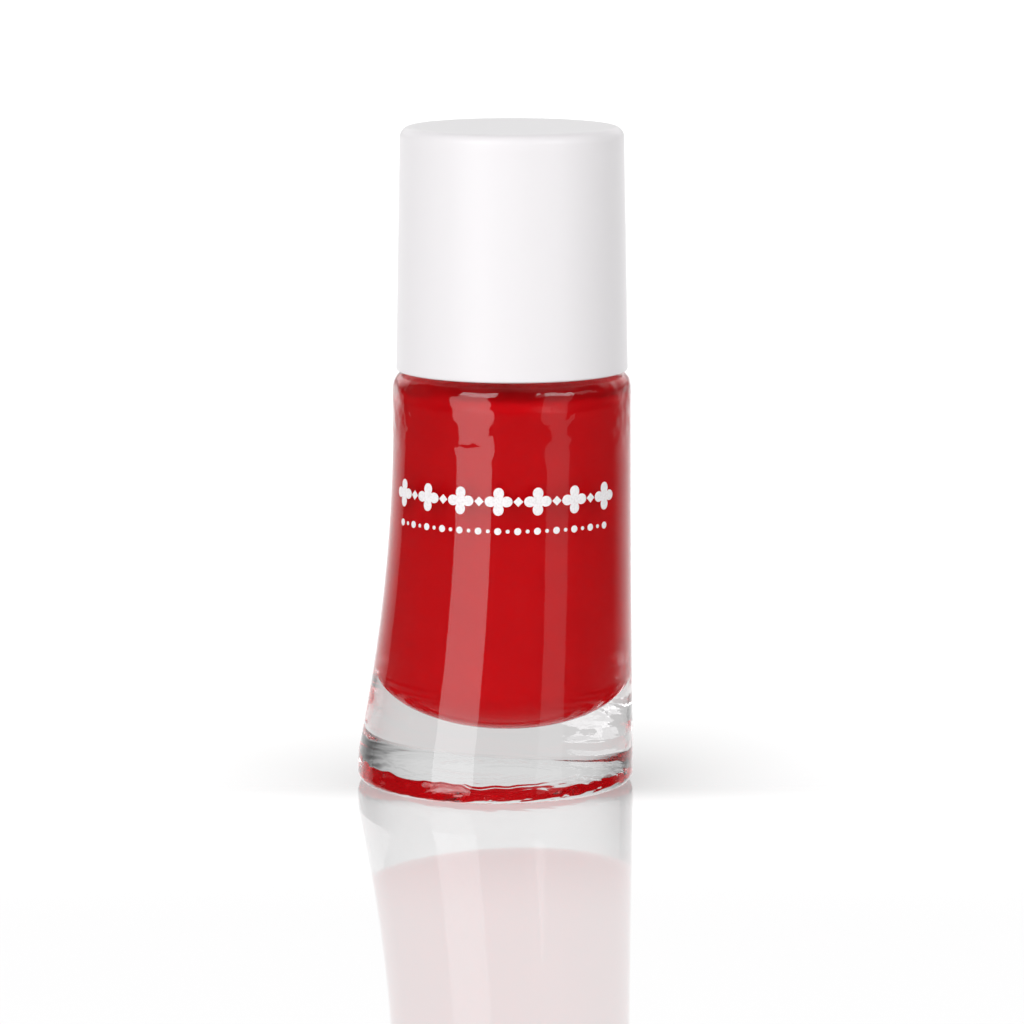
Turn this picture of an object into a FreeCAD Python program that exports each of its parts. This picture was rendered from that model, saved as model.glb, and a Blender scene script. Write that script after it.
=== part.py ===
# Nail polish bottle with a screw-on brush cap, as its separate pieces.
# Frame: millimetres, +Z up, the origin on the resting surface under the centre of the foot. The front
# faces -Y. The body is round at every height and flares towards -X, so the neck, the cap and the brush
# stand on an axis of their own, which is moved towards +X.
import FreeCAD, Part
import Sketcher
import os

SHEET = "Sizes"

# Driving dimensions in millimetres (angles in degrees, and counts where the name says so).
DIMENSIONS = {
    # glass body
    "axis_offset": 1.70,
    "foot_radius": 14.18,
    "foot_height": 2.4,
    "heel_radius": 1.1,
    "body_radius": 12.17,
    "body_height": 42.45,
    "flare_radius": 2.365,
    "flare_shift": 2.0,
    "flare_top": 38.0,
    "shoulder_fillet": 1.5,
    "recess_radius": 11.2,
    "recess_step_radius": 9.8,
    "recess_step": 1.2,
    "recess_depth": 1.5,
    # room inside the glass
    "room_offset": 1.5,
    "bowl_offset": 0.6,
    "room_floor": 5.9,
    "bowl_height": 5.0,
    "bowl_radius": 8.9,
    "room_radius": 9.9,
    "room_wide_height": 24.0,
    "room_ceiling": 41.0,
    "room_corner": 1.8,
    # neck, a 13 mm screw finish
    "neck_radius": 5.7,
    "neck_top": 53.65,
    "neck_fillet": 0.8,
    "rim_fillet": 0.5,
    "bore_radius": 3.6,
    "bore_flare": 0.9,
    "mouth_chamfer": 0.35,
    # the screw thread, twelve turns to the inch
    "thread_pitch": 2.117,
    "thread_turns": 1.5,
    "thread_start": 47.9,
    "thread_root_half": 0.62,
    "thread_crest_half": 0.36,
    "thread_sink": 0.25,
    "neck_crest": 6.45,
    "cap_crest": 5.95,
    "cap_root": 6.65,
    # contents
    "fill_level": 40.4,
    "channel_radius": 2.15,
    "channel_floor": 9.75,
    "ball_radius": 1.6,
    "ball_spacing": 3.24,
    "ball_height": 7.61,
    # outer cap
    "cap_bottom": 42.6,
    "cap_top": 67.45,
    "cap_bottom_radius": 11.83,
    "cap_top_radius": 11.41,
    "cap_wall": 1.25,
    "cap_roof": 1.5,
    "cap_top_fillet": 1.1,
    "cap_edge_fillet": 0.25,
    "rib_count": 12,
    "rib_width": 0.8,
    "rib_lift": 1.4,
    "rib_stop_radius": 5.5,
    # inner cap
    "skirt_bottom": 43.3,
    "skirt_radius": 8.1,
    "web_bottom": 55.6,
    "web_top": 57.0,
    "hub_radius": 3.9,
    "hub_top": 60.4,
    "socket_radius": 2.65,
    "socket_top": 59.1,
    "snap_height": 57.65,
    "snap_half": 0.3,
    "snap_land": 0.1,
    "snap_depth": 0.2,
    "grip_count": 36,
    "grip_radius": 0.3,
    # sealing washer
    "washer_bottom": 53.70,
    "washer_top": 54.50,
    "washer_radius": 5.5,
    "washer_hole": 2.05,
    # brush
    "flange_radius": 5.3,
    "flange_bottom": 54.55,
    "flange_top": 55.55,
    "plug_radius": 2.6,
    "plug_top": 58.9,
    "stem_radius": 1.85,
    "bead_radius": 2.35,
    "bead_height": 49.95,
    "bead_half": 0.3,
    "bead_land": 0.1,
    "taper_start": 30.0,
    "stem_end": 21.5,
    "stem_end_radius": 1.65,
    "tuft_hole_radius": 1.25,
    "tuft_hole_top": 26.0,
    "tuft_widest": 13.2,
    "tuft_radius": 1.9,
    "tuft_tip": 9.9,
    "staple_thickness": 0.3,
    "staple_width": 2.4,
    "staple_height": 1.2,
}

# Heights of the round sections that the flared body is lofted through, above the foot.
FLARE_SECTIONS = (4.3, 9.0, 15.0, 22.0, 30.0)


def cell(alias):
    return f"{SHEET}.{alias}"


def size(doc, alias):
    return float(doc.getObject(SHEET).get(alias))


def make_sheet(doc):
    sheet = doc.addObject("Spreadsheet::Sheet", SHEET)
    for row, (alias, value) in enumerate(DIMENSIONS.items(), start=1):
        sheet.set(f"A{row}", alias.replace("_", " "))
        sheet.set(f"B{row}", str(value))
        sheet.setAlias(f"B{row}", alias)
    doc.recompute()


def amount(doc, formula):
    """Value of a formula written with the sheet's aliases."""
    probe = doc.getObject(SHEET)
    return float(probe.evalExpression(formula.replace(f"{SHEET}.", "")))


def new_body(doc, name, on_axis=True):
    """Body whose own origin stands on the neck axis, or on the foot's centre."""
    body = doc.addObject("PartDesign::Body", name)
    if on_axis:
        body.setExpression("Placement.Base.x", cell("axis_offset"))
    return body


def origin_plane(body, role):
    return next(item for item in body.Origin.OriginFeatures if item.Role == role)


def new_sketch(body, name, role, height=None):
    sketch = body.newObject("Sketcher::SketchObject", name)
    sketch.AttachmentSupport = (origin_plane(body, role), [""])
    sketch.MapMode = "FlatFace"
    if height is not None:
        sketch.setExpression("AttachmentOffset.Base.z", height)
    return sketch


def place_point(sketch, geometry, position, along, formula, label):
    """Hold one coordinate of a sketch point: on the axis for 0, otherwise at a formula's value."""
    if formula == "0":
        axis = -2 if along == "X" else -1
        sketch.addConstraint(Sketcher.Constraint("PointOnObject", geometry, position, axis))
        return
    doc = sketch.Document
    kind = "Distance" + along
    value = amount(doc, formula)
    index = sketch.addConstraint(Sketcher.Constraint(kind, -1, 1, geometry, position, value))
    sketch.renameConstraint(index, label)
    sketch.setExpression(f"Constraints.{label}", formula)


def draw_outline(sketch, corners):
    """Closed outline of straight lines through corners, each a pair of formulas."""
    doc = sketch.Document
    points = [FreeCAD.Vector(amount(doc, x), amount(doc, y), 0) for x, y in corners]
    count = len(points)
    for number in range(count):
        sketch.addGeometry(Part.LineSegment(points[number], points[(number + 1) % count]), False)
    for number in range(count):
        following = (number + 1) % count
        sketch.addConstraint(Sketcher.Constraint("Coincident", number, 2, following, 1))
    for number, (x, y) in enumerate(corners):
        place_point(sketch, number, 1, "X", x, f"across_{number}")
        place_point(sketch, number, 1, "Y", y, f"height_{number}")


def draw_circle(sketch, centre_x, radius):
    doc = sketch.Document
    centre = FreeCAD.Vector(amount(doc, centre_x), 0, 0)
    sketch.addGeometry(Part.Circle(centre, FreeCAD.Vector(0, 0, 1), amount(doc, radius)), False)
    place_point(sketch, 0, 3, "X", centre_x, "centre_across")
    place_point(sketch, 0, 3, "Y", "0", "centre_height")
    index = sketch.addConstraint(Sketcher.Constraint("Radius", 0, amount(doc, radius)))
    sketch.renameConstraint(index, "radius")
    sketch.setExpression("Constraints.radius", radius)


def revolve(body, name, corners, kind="Revolution"):
    """Full turn of an outline, given as radius and height, about the body's own Z axis."""
    sketch = new_sketch(body, name + "_outline", "XZ_Plane")
    draw_outline(sketch, corners)
    feature = body.newObject(f"PartDesign::{kind}", name)
    feature.Profile = sketch
    feature.ReferenceAxis = (sketch, ["V_Axis"])
    feature.Angle = 360
    body.Document.recompute()
    return feature


def thread(body, name, root, crest, start):
    """Right-hand helical ridge from root to crest radius, whose middle starts at a height."""
    sketch = new_sketch(body, name + "_profile", "XZ_Plane")
    wide = cell("thread_root_half")
    narrow = cell("thread_crest_half")
    draw_outline(sketch, [
        (root, f"{start} - {wide}"),
        (crest, f"{start} - {narrow}"),
        (crest, f"{start} + {narrow}"),
        (root, f"{start} + {wide}"),
    ])
    ridge = body.newObject("PartDesign::AdditiveHelix", name)
    ridge.Profile = sketch
    ridge.ReferenceAxis = (sketch, ["V_Axis"])
    ridge.Mode = "pitch-turns-angle"
    ridge.setExpression("Pitch", cell("thread_pitch"))
    ridge.setExpression("Turns", cell("thread_turns"))
    ridge.LeftHanded = False
    body.Document.recompute()
    return ridge


def edge_names(shape, height, radius, tolerance=0.02):
    """Names of the level circles about the body's own Z axis at a height and a radius."""
    names = []
    for number, edge in enumerate(shape.Edges, start=1):
        box = edge.BoundBox
        level = box.ZLength < tolerance and abs(box.ZMin - height) < tolerance
        if level and abs(box.XMax - radius) < tolerance:
            names.append(f"Edge{number}")
    return names


def round_edges(body, name, base, names, radius):
    feature = body.newObject("PartDesign::Fillet", name)
    feature.Base = (base, names)
    feature.setExpression("Radius", radius)
    body.Document.recompute()
    return feature


def flared_body(doc):
    """Glass below the straight part: a round foot, then round sections that shrink towards the top.

    Their radius and their move towards -X both follow the square of the drop below the flare's top."""
    body = new_body(doc, "glass_flare", on_axis=False)
    foot = revolve(body, "foot", [
        ("0", "0"),
        (cell("foot_radius"), "0"),
        (cell("foot_radius"), cell("foot_height")),
        ("0", cell("foot_height")),
    ])
    heel_edges = edge_names(foot.Shape, 0.0, size(doc, "foot_radius"))
    round_edges(body, "heel", foot, heel_edges, cell("heel_radius"))

    sketch = new_sketch(body, "foot_top", "XY_Plane", cell("foot_height"))
    draw_circle(sketch, "0", cell("foot_radius"))
    sections = [sketch]
    for number, height in enumerate(FLARE_SECTIONS):
        sketch = new_sketch(body, f"flare_{number}", "XY_Plane", f"{height}")
        drop = f"(1 - {height} / {cell('flare_top')}) ^ 2"
        draw_circle(sketch, f"{cell('axis_offset')} - {cell('flare_shift')} * {drop}",
                    f"{cell('body_radius')} + {cell('flare_radius')} * {drop}")
        sections.append(sketch)
    sketch = new_sketch(body, "flare_end", "XY_Plane", cell("flare_top"))
    draw_circle(sketch, cell("axis_offset"), cell("body_radius"))
    sections.append(sketch)
    loft = body.newObject("PartDesign::AdditiveLoft", "flare")
    loft.Profile = sections[0]
    loft.Sections = sections[1:]
    doc.recompute()

    # The underside is pushed up by a sloping step and a shallow cone, so the glass stands on a ring.
    depth = cell("recess_depth")
    push_up = revolve(body, "push_up", [
        ("0", f"-{depth}"),
        (cell("recess_radius"), f"-{depth}"),
        (cell("recess_radius"), "0"),
        (cell("recess_step_radius"), cell("recess_step")),
        ("0", depth),
    ], "Groove")
    must_shrink("push_up", loft, push_up)
    return body


def neck(doc):
    """Straight upper glass, its rounded shoulder and the threaded neck."""
    body = new_body(doc, "glass_neck")
    shoulder = cell("body_height")
    stub = revolve(body, "shoulder_and_neck", [
        ("0", cell("flare_top")),
        (cell("body_radius"), cell("flare_top")),
        (cell("body_radius"), shoulder),
        (cell("neck_radius"), shoulder),
        (cell("neck_radius"), cell("neck_top")),
        ("0", cell("neck_top")),
    ])
    height = size(doc, "body_height")
    edges = edge_names(stub.Shape, height, size(doc, "body_radius"))
    corner = round_edges(body, "shoulder_corner", stub, edges, cell("shoulder_fillet"))
    edges = edge_names(corner.Shape, height, size(doc, "neck_radius"))
    foot = round_edges(body, "neck_foot", corner, edges, cell("neck_fillet"))
    edges = edge_names(foot.Shape, size(doc, "neck_top"), size(doc, "neck_radius"))
    round_edges(body, "neck_rim", foot, edges, cell("rim_fillet"))
    root = f"{cell('neck_radius')} - {cell('thread_sink')}"
    thread(body, "neck_thread", root, cell("neck_crest"), cell("thread_start"))
    return body


def inner_room(doc):
    """Room for the lacquer: a straight wall with a rounded ceiling corner, over a wall that leans with the
    flare and narrows down to a bowl."""
    body = new_body(doc, "inner_room", on_axis=False)
    body.setExpression("Placement.Base.x", cell("room_offset"))
    wide = cell("room_wide_height")
    wall = revolve(body, "room_wall", [
        ("0", wide),
        (cell("room_radius"), wide),
        (cell("room_radius"), cell("room_ceiling")),
        ("0", cell("room_ceiling")),
    ])
    ceiling = edge_names(wall.Shape, size(doc, "room_ceiling"), size(doc, "room_radius"))
    round_edges(body, "room_corner", wall, ceiling, cell("room_corner"))

    lean = f"{cell('bowl_offset')} - {cell('room_offset')}"
    equator = f"{cell('room_floor')} + {cell('bowl_height')}"
    top = new_sketch(body, "lean_top", "XY_Plane", wide)
    draw_circle(top, "0", cell("room_radius"))
    foot = new_sketch(body, "lean_foot", "XY_Plane", equator)
    draw_circle(foot, lean, cell("bowl_radius"))
    loft = body.newObject("PartDesign::AdditiveLoft", "leaning_wall")
    loft.Profile = top
    loft.Sections = [foot]
    doc.recompute()

    bowl = body.newObject("PartDesign::AdditiveEllipsoid", "room_bowl")
    bowl.AttachmentSupport = (origin_plane(body, "XY_Plane"), [""])
    bowl.MapMode = "FlatFace"
    bowl.setExpression("AttachmentOffset.Base.x", lean)
    bowl.setExpression("AttachmentOffset.Base.z", equator)
    bowl.setExpression("Radius1", cell("bowl_height"))
    bowl.setExpression("Radius2", cell("bowl_radius"))
    bowl.setExpression("Radius3", cell("bowl_radius"))
    doc.recompute()
    return body


def bore(doc):
    """Bore of the neck, flared where it opens into the room and chamfered at the mouth."""
    body = new_body(doc, "neck_bore")
    wide = f"{cell('bore_radius')} + {cell('bore_flare')}"
    mouth = f"{cell('bore_radius')} + {cell('mouth_chamfer')}"
    low = f"{cell('room_ceiling')} - {cell('bore_flare')}"
    revolve(body, "bore_outline", [
        ("0", low),
        (wide, low),
        (cell("bore_radius"), f"{cell('room_ceiling')} + {cell('bore_flare')}"),
        (cell("bore_radius"), f"{cell('neck_top')} - {cell('mouth_chamfer')}"),
        (mouth, cell("neck_top")),
        (mouth, f"{cell('neck_top')} + {cell('mouth_chamfer')}"),
        ("0", f"{cell('neck_top')} + {cell('mouth_chamfer')}"),
    ])
    return body


def join(doc, kind, name, first, second):
    """Part boolean of two objects: Cut, Fuse or Common."""
    result = doc.addObject(f"Part::{kind}", name)
    result.Base = first
    result.Tool = second
    result.Refine = True
    doc.recompute()
    return result


def make_bottle(doc, room):
    outside = join(doc, "Fuse", "glass_solid", flared_body(doc), neck(doc))
    hollow = join(doc, "Fuse", "glass_hollow", room, bore(doc))
    return join(doc, "Cut", "bottle", outside, hollow)


def make_balls(doc):
    """Two loose steel balls on the floor of the bowl, which stir the lacquer when it is shaken."""
    balls = []
    for name, side in (("mixing_ball_front", "-"), ("mixing_ball_back", "")):
        ball = doc.addObject("Part::Sphere", name)
        ball.setExpression("Radius", cell("ball_radius"))
        ball.setExpression("Placement.Base.x", cell("bowl_offset"))
        ball.setExpression("Placement.Base.y", f"{side}{cell('ball_spacing')} / 2")
        ball.setExpression("Placement.Base.z", cell("ball_height"))
        balls.append(ball)
    doc.recompute()
    return balls


def make_lacquer(doc, room, balls):
    """Lacquer up to its level, without the space that the brush and the balls take in it."""
    level = doc.addObject("Part::Cylinder", "below_level")
    level.setExpression("Radius", cell("foot_radius"))
    level.setExpression("Height", cell("fill_level"))
    filled = join(doc, "Common", "filled_room", room, level)
    channel = doc.addObject("Part::Cylinder", "brush_channel")
    channel.setExpression("Radius", cell("channel_radius"))
    channel.setExpression("Height", f"{cell('fill_level')} - {cell('channel_floor')} + {cell('ball_radius')}")
    channel.setExpression("Placement.Base.x", cell("axis_offset"))
    channel.setExpression("Placement.Base.z", cell("channel_floor"))
    voids = doc.addObject("Part::MultiFuse", "lacquer_voids")
    voids.Shapes = [channel] + balls
    return join(doc, "Cut", "lacquer", filled, voids)


def radial_rib(body, name, inner, bottom, top):
    """One rib along +X from an inner radius to the middle of the cap's wall."""
    half = f"{cell('rib_width')} / 2"
    reach = f"{cell('cap_top_radius')} - {cell('cap_wall')} / 2"
    sketch = new_sketch(body, name + "_plan", "XY_Plane", bottom)
    draw_outline(sketch, [(inner, f"-{half}"), (reach, f"-{half}"), (reach, half), (inner, half)])
    rib = body.newObject("PartDesign::Pad", name)
    rib.Profile = sketch
    rib.setExpression("Length", f"{top} - ({bottom})")
    body.Document.recompute()
    return rib


def repeat_round(body, name, feature, sketch, count):
    """Feature repeated around the body's own Z axis."""
    pattern = body.newObject("PartDesign::PolarPattern", name)
    pattern.Originals = [feature]
    pattern.Axis = (sketch, ["N_Axis"])
    pattern.Angle = 360
    pattern.setExpression("Occurrences", count)
    body.Tip = pattern
    body.Document.recompute()
    return pattern


def make_outer_cap(doc):
    """Moulded shell with draft, and ribs inside that grip and stop the inner cap."""
    body = new_body(doc, "outer_cap")
    ceiling = f"{cell('cap_top')} - {cell('cap_roof')}"
    shell = revolve(body, "cap_shell", [
        ("0", ceiling),
        (f"{cell('cap_top_radius')} - {cell('cap_wall')}", ceiling),
        (f"{cell('cap_bottom_radius')} - {cell('cap_wall')}", cell("cap_bottom")),
        (cell("cap_bottom_radius"), cell("cap_bottom")),
        (cell("cap_top_radius"), cell("cap_top")),
        ("0", cell("cap_top")),
    ])
    top_edges = edge_names(shell.Shape, size(doc, "cap_top"), size(doc, "cap_top_radius"))
    top = round_edges(body, "cap_top_edge", shell, top_edges, cell("cap_top_fillet"))
    mouth_edges = edge_names(top.Shape, size(doc, "cap_bottom"), size(doc, "cap_bottom_radius"))
    round_edges(body, "cap_mouth_edge", top, mouth_edges, cell("cap_edge_fillet"))

    start = f"{cell('cap_bottom')} + {cell('rib_lift')}"
    grip = radial_rib(body, "grip_rib", cell("skirt_radius"), start, cell("web_top"))
    repeat_round(body, "grip_ribs", grip, grip.Profile[0], cell("rib_count"))
    into_roof = f"{ceiling} + {cell('cap_roof')} / 4"
    stop = radial_rib(body, "stop_rib", cell("rib_stop_radius"), cell("web_top"), into_roof)
    repeat_round(body, "stop_ribs", stop, stop.Profile[0], cell("rib_count"))
    return body


def make_inner_cap(doc):
    """Threaded liner: skirt, web, a hub with the brush's snap socket, and grips on the outside."""
    body = new_body(doc, "inner_cap")
    groove = f"{cell('socket_radius')} + {cell('snap_depth')}"
    snap = cell("snap_height")
    skirt = revolve(body, "cap_liner", [
        (cell("cap_root"), cell("skirt_bottom")),
        (cell("skirt_radius"), cell("skirt_bottom")),
        (cell("skirt_radius"), cell("web_top")),
        (cell("hub_radius"), cell("web_top")),
        (cell("hub_radius"), cell("hub_top")),
        ("0", cell("hub_top")),
        ("0", cell("socket_top")),
        (cell("socket_radius"), cell("socket_top")),
        (cell("socket_radius"), f"{snap} + {cell('snap_half')}"),
        (groove, f"{snap} + {cell('snap_land')}"),
        (groove, f"{snap} - {cell('snap_land')}"),
        (cell("socket_radius"), f"{snap} - {cell('snap_half')}"),
        (cell("socket_radius"), cell("web_bottom")),
        (cell("cap_root"), cell("web_bottom")),
    ])

    # The grips are scallops between the ribs of the outer cap, so they start half a step round.
    sketch = new_sketch(body, "grip_plan", "XY_Plane", cell("skirt_bottom"))
    step = f"(180 / {cell('grip_count')})"
    centre_x = f"{cell('skirt_radius')} * cos({step})"
    centre_y = f"{cell('skirt_radius')} * sin({step})"
    centre = FreeCAD.Vector(amount(doc, centre_x), amount(doc, centre_y), 0)
    radius = size(doc, "grip_radius")
    sketch.addGeometry(Part.Circle(centre, FreeCAD.Vector(0, 0, 1), radius), False)
    place_point(sketch, 0, 3, "X", centre_x, "centre_across")
    place_point(sketch, 0, 3, "Y", centre_y, "centre_height")
    index = sketch.addConstraint(Sketcher.Constraint("Radius", 0, radius))
    sketch.renameConstraint(index, "radius")
    sketch.setExpression("Constraints.radius", cell("grip_radius"))
    scallop = body.newObject("PartDesign::Pocket", "grip")
    scallop.Profile = sketch
    scallop.Reversed = True
    scallop.setExpression("Length", f"{cell('web_top')} - {cell('skirt_bottom')}")
    doc.recompute()
    must_shrink("grip", skirt, scallop)
    repeat_round(body, "grips", scallop, sketch, cell("grip_count"))

    start = f"{cell('thread_start')} - {cell('thread_pitch')} / 2"
    root = f"{cell('cap_root')} + {cell('thread_sink')}"
    thread(body, "cap_thread", root, cell("cap_crest"), start)
    return body


def make_washer(doc):
    """Flat ring that seals the rim; the bead on the stem keeps it on the brush."""
    body = new_body(doc, "sealing_washer")
    revolve(body, "washer_ring", [
        (cell("washer_hole"), cell("washer_bottom")),
        (cell("washer_radius"), cell("washer_bottom")),
        (cell("washer_radius"), cell("washer_top")),
        (cell("washer_hole"), cell("washer_top")),
    ])
    return body


def make_stem(doc):
    """Brush stem: snap plug, sealing flange, bead that holds the washer, taper and tuft hole."""
    body = new_body(doc, "brush_stem")
    plug = cell("plug_radius")
    snap = cell("snap_height")
    bump = f"{plug} + {cell('snap_depth')}"
    stem = cell("stem_radius")
    bead = cell("bead_height")
    revolve(body, "stem_outline", [
        ("0", cell("plug_top")),
        (plug, cell("plug_top")),
        (plug, f"{snap} + {cell('snap_half')}"),
        (bump, f"{snap} + {cell('snap_land')}"),
        (bump, f"{snap} - {cell('snap_land')}"),
        (plug, f"{snap} - {cell('snap_half')}"),
        (plug, cell("flange_top")),
        (cell("flange_radius"), cell("flange_top")),
        (cell("flange_radius"), cell("flange_bottom")),
        (stem, cell("flange_bottom")),
        (stem, f"{bead} + {cell('bead_half')}"),
        (cell("bead_radius"), f"{bead} + {cell('bead_land')}"),
        (cell("bead_radius"), f"{bead} - {cell('bead_land')}"),
        (stem, f"{bead} - {cell('bead_half')}"),
        (stem, cell("taper_start")),
        (cell("stem_end_radius"), cell("stem_end")),
        (cell("tuft_hole_radius"), cell("stem_end")),
        (cell("tuft_hole_radius"), cell("tuft_hole_top")),
        ("0", cell("tuft_hole_top")),
    ])
    return body


def make_staple(doc):
    """Metal strip across the root of the tuft, which holds the bristles in the stem."""
    staple = doc.addObject("Part::Box", "brush_staple")
    staple.setExpression("Length", cell("staple_thickness"))
    staple.setExpression("Width", cell("staple_width"))
    staple.setExpression("Height", cell("staple_height"))
    staple.setExpression("Placement.Base.x", f"{cell('axis_offset')} - {cell('staple_thickness')} / 2")
    staple.setExpression("Placement.Base.y", f"-{cell('staple_width')} / 2")
    staple.setExpression("Placement.Base.z", f"{cell('tuft_hole_top')} - {cell('staple_height')}")
    doc.recompute()
    return staple


def make_bristles(doc, staple):
    """Tuft: a root in the stem's hole, a widening middle and a rounded tip, cut out for the staple."""
    body = new_body(doc, "tuft_solid")
    root = cell("tuft_hole_radius")
    revolve(body, "tuft_outline", [
        ("0", cell("tuft_hole_top")),
        (root, cell("tuft_hole_top")),
        (root, cell("stem_end")),
        (cell("tuft_radius"), cell("tuft_widest")),
        ("0", cell("tuft_widest")),
    ])
    tip = body.newObject("PartDesign::AdditiveEllipsoid", "tuft_tip")
    tip.AttachmentSupport = (origin_plane(body, "XY_Plane"), [""])
    tip.MapMode = "FlatFace"
    tip.setExpression("AttachmentOffset.Base.z", cell("tuft_widest"))
    tip.setExpression("Radius1", f"{cell('tuft_widest')} - {cell('tuft_tip')}")
    tip.setExpression("Radius2", cell("tuft_radius"))
    tip.setExpression("Radius3", cell("tuft_radius"))
    doc.recompute()
    return join(doc, "Cut", "brush_bristles", body, staple)


def must_shrink(name, before, after):
    """A cut that points away from the solid takes nothing off and shows no error."""
    if after.Shape.Volume >= before.Shape.Volume:
        raise RuntimeError(f"{name} cuts nothing")


def check_document(doc, subparts):
    for item in doc.Objects:
        if "Invalid" in item.State or "Error" in item.State:
            raise RuntimeError(f"{item.Name} failed: {item.State}")
    for item in subparts:
        if item.Shape.isNull() or not item.Shape.isValid() or not item.Shape.Solids:
            raise RuntimeError(f"{item.Name} has no valid solid")


def build():
    doc = FreeCAD.newDocument("nail_polish_bottle")
    make_sheet(doc)
    room = inner_room(doc)
    balls = make_balls(doc)
    staple = make_staple(doc)
    subparts = [
        make_bottle(doc, room),
        make_lacquer(doc, room, balls),
        *balls,
        make_outer_cap(doc),
        make_inner_cap(doc),
        make_washer(doc),
        make_stem(doc),
        make_bristles(doc, staple),
        staple,
    ]
    doc.recompute()
    for item in subparts:
        item.Label = item.Name
    check_document(doc, subparts)
    return subparts


def write_parts(subparts):
    os.makedirs("parts", exist_ok=True)
    for item in subparts:
        item.Shape.exportStep(f"parts/{item.Label}.step")
        box = item.Shape.optimalBoundingBox()
        print(f"{item.Label}: {len(item.Shape.Solids)} solid, {item.Shape.Volume:.1f} mm3, "
              f"z {box.ZMin:.2f} to {box.ZMax:.2f}, x {box.XMin:.2f} to {box.XMax:.2f}")


write_parts(build())
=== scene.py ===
"""Looks of a nail polish bottle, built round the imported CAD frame.

Lengths are metres in the frame's own axes: +Z up, the front faces -Y, the origin under the foot. Each new
piece is a surface that numpy works out on a grid of two parameters; each material is procedural.
"""
import bpy
import math
import numpy as np
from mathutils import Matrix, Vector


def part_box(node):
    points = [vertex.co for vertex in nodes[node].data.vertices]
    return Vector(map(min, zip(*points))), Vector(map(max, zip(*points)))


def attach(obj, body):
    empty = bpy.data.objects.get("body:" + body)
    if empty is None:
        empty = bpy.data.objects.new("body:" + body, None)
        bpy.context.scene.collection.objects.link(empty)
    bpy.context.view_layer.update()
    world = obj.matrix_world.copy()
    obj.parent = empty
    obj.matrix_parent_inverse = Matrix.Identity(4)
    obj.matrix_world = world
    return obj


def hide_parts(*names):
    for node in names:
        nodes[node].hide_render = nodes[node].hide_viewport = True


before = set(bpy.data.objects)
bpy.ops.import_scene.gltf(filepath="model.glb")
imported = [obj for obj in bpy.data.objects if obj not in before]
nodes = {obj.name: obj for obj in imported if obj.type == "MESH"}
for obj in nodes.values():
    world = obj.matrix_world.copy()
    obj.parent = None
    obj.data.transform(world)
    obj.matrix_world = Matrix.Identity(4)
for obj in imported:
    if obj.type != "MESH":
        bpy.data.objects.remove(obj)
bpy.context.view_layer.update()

MM = 0.001

# ---------------------------------------------------------------- sizes read from the frame
bottle_low, bottle_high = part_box("bottle")
cap_low, cap_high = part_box("outer_cap")
liner_low, liner_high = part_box("inner_cap")
tuft_low, tuft_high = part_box("brush_bristles")
stem_low, stem_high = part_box("brush_stem")

NECK_X = (cap_low.x + cap_high.x) / 2
FOOT_RADIUS = (bottle_high.x - bottle_low.x) / 2
NECK_TOP = bottle_high.z
CAP_RADIUS = (cap_high.x - cap_low.x) / 2
CAP_BOTTOM = cap_low.z
CAP_TOP = cap_high.z

# ---------------------------------------------------------------- sizes of the glass and the cap
BODY_RADIUS = 12.17 * MM
BODY_TOP = 42.45 * MM
FLARE_TOP = 38.0 * MM
FLARE_RADIUS = 2.365 * MM
FLARE_SHIFT = 2.0 * MM
FLARE_BLEND = 0.03 * MM
HEEL_RADIUS = 1.1 * MM
SHOULDER_RADIUS = 1.5 * MM
PUSH_UP_RADIUS = 11.2 * MM
PUSH_UP_STEP_RADIUS = 9.8 * MM
PUSH_UP_STEP = 1.2 * MM
PUSH_UP_DEPTH = 1.5 * MM
PUSH_UP_NICK = 254.0
PUSH_UP_UNEVEN = 0.32 * MM
PUSH_UP_RAGGED = 0.0455 * MM
PUSH_UP_WAVES = 0.04 * MM
PUSH_UP_CALM_RADIUS = 4.0 * MM
KNURL = 0.028 * MM
KNURL_TOP = 3.4 * MM
NECK_RADIUS = 5.7 * MM
NECK_FOOT_RADIUS = 0.8 * MM
RIM_RADIUS = 0.5 * MM
BORE_RADIUS = 3.6 * MM
BORE_FLARE = 0.9 * MM
THREAD_START = 47.9 * MM
THREAD_PITCH = 2.117 * MM
THREAD_TURNS = 1.5
THREAD_HEIGHT = 0.75 * MM
THREAD_FOOT = 0.62 * MM
THREAD_CREST = 0.36 * MM
ROOM_X = 1.5 * MM
ROOM_RADIUS = 9.9 * MM
ROOM_WIDE = 24.0 * MM
ROOM_CEILING = 41.0 * MM
ROOM_CORNER = 1.8 * MM
BOWL_X = 0.6 * MM
BOWL_FLOOR = 5.9 * MM
BOWL_RADIUS = 8.9 * MM
BOWL_HEIGHT = 5.0 * MM
FILL_LEVEL = 40.4 * MM
WETTING = 0.05 * MM
FILM = 0.12 * MM
FILM_TOP = 50.6 * MM
CAP_WALL = 1.25 * MM
CAP_ROOF = 1.5 * MM
CAP_DRAFT = 0.42 * MM
CAP_TOP_EDGE = 1.1 * MM
CAP_MOUTH_EDGE = 0.25 * MM
CAP_INSIDE_CORNER = 0.3 * MM
RIB_COUNT = 12
RIB_WIDTH = 0.8 * MM
RIB_LIFT = 1.4 * MM
RIB_LIP = 0.12 * MM
LINER_TOP = 57.0 * MM
RIB_STOP_RADIUS = 5.5 * MM


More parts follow.
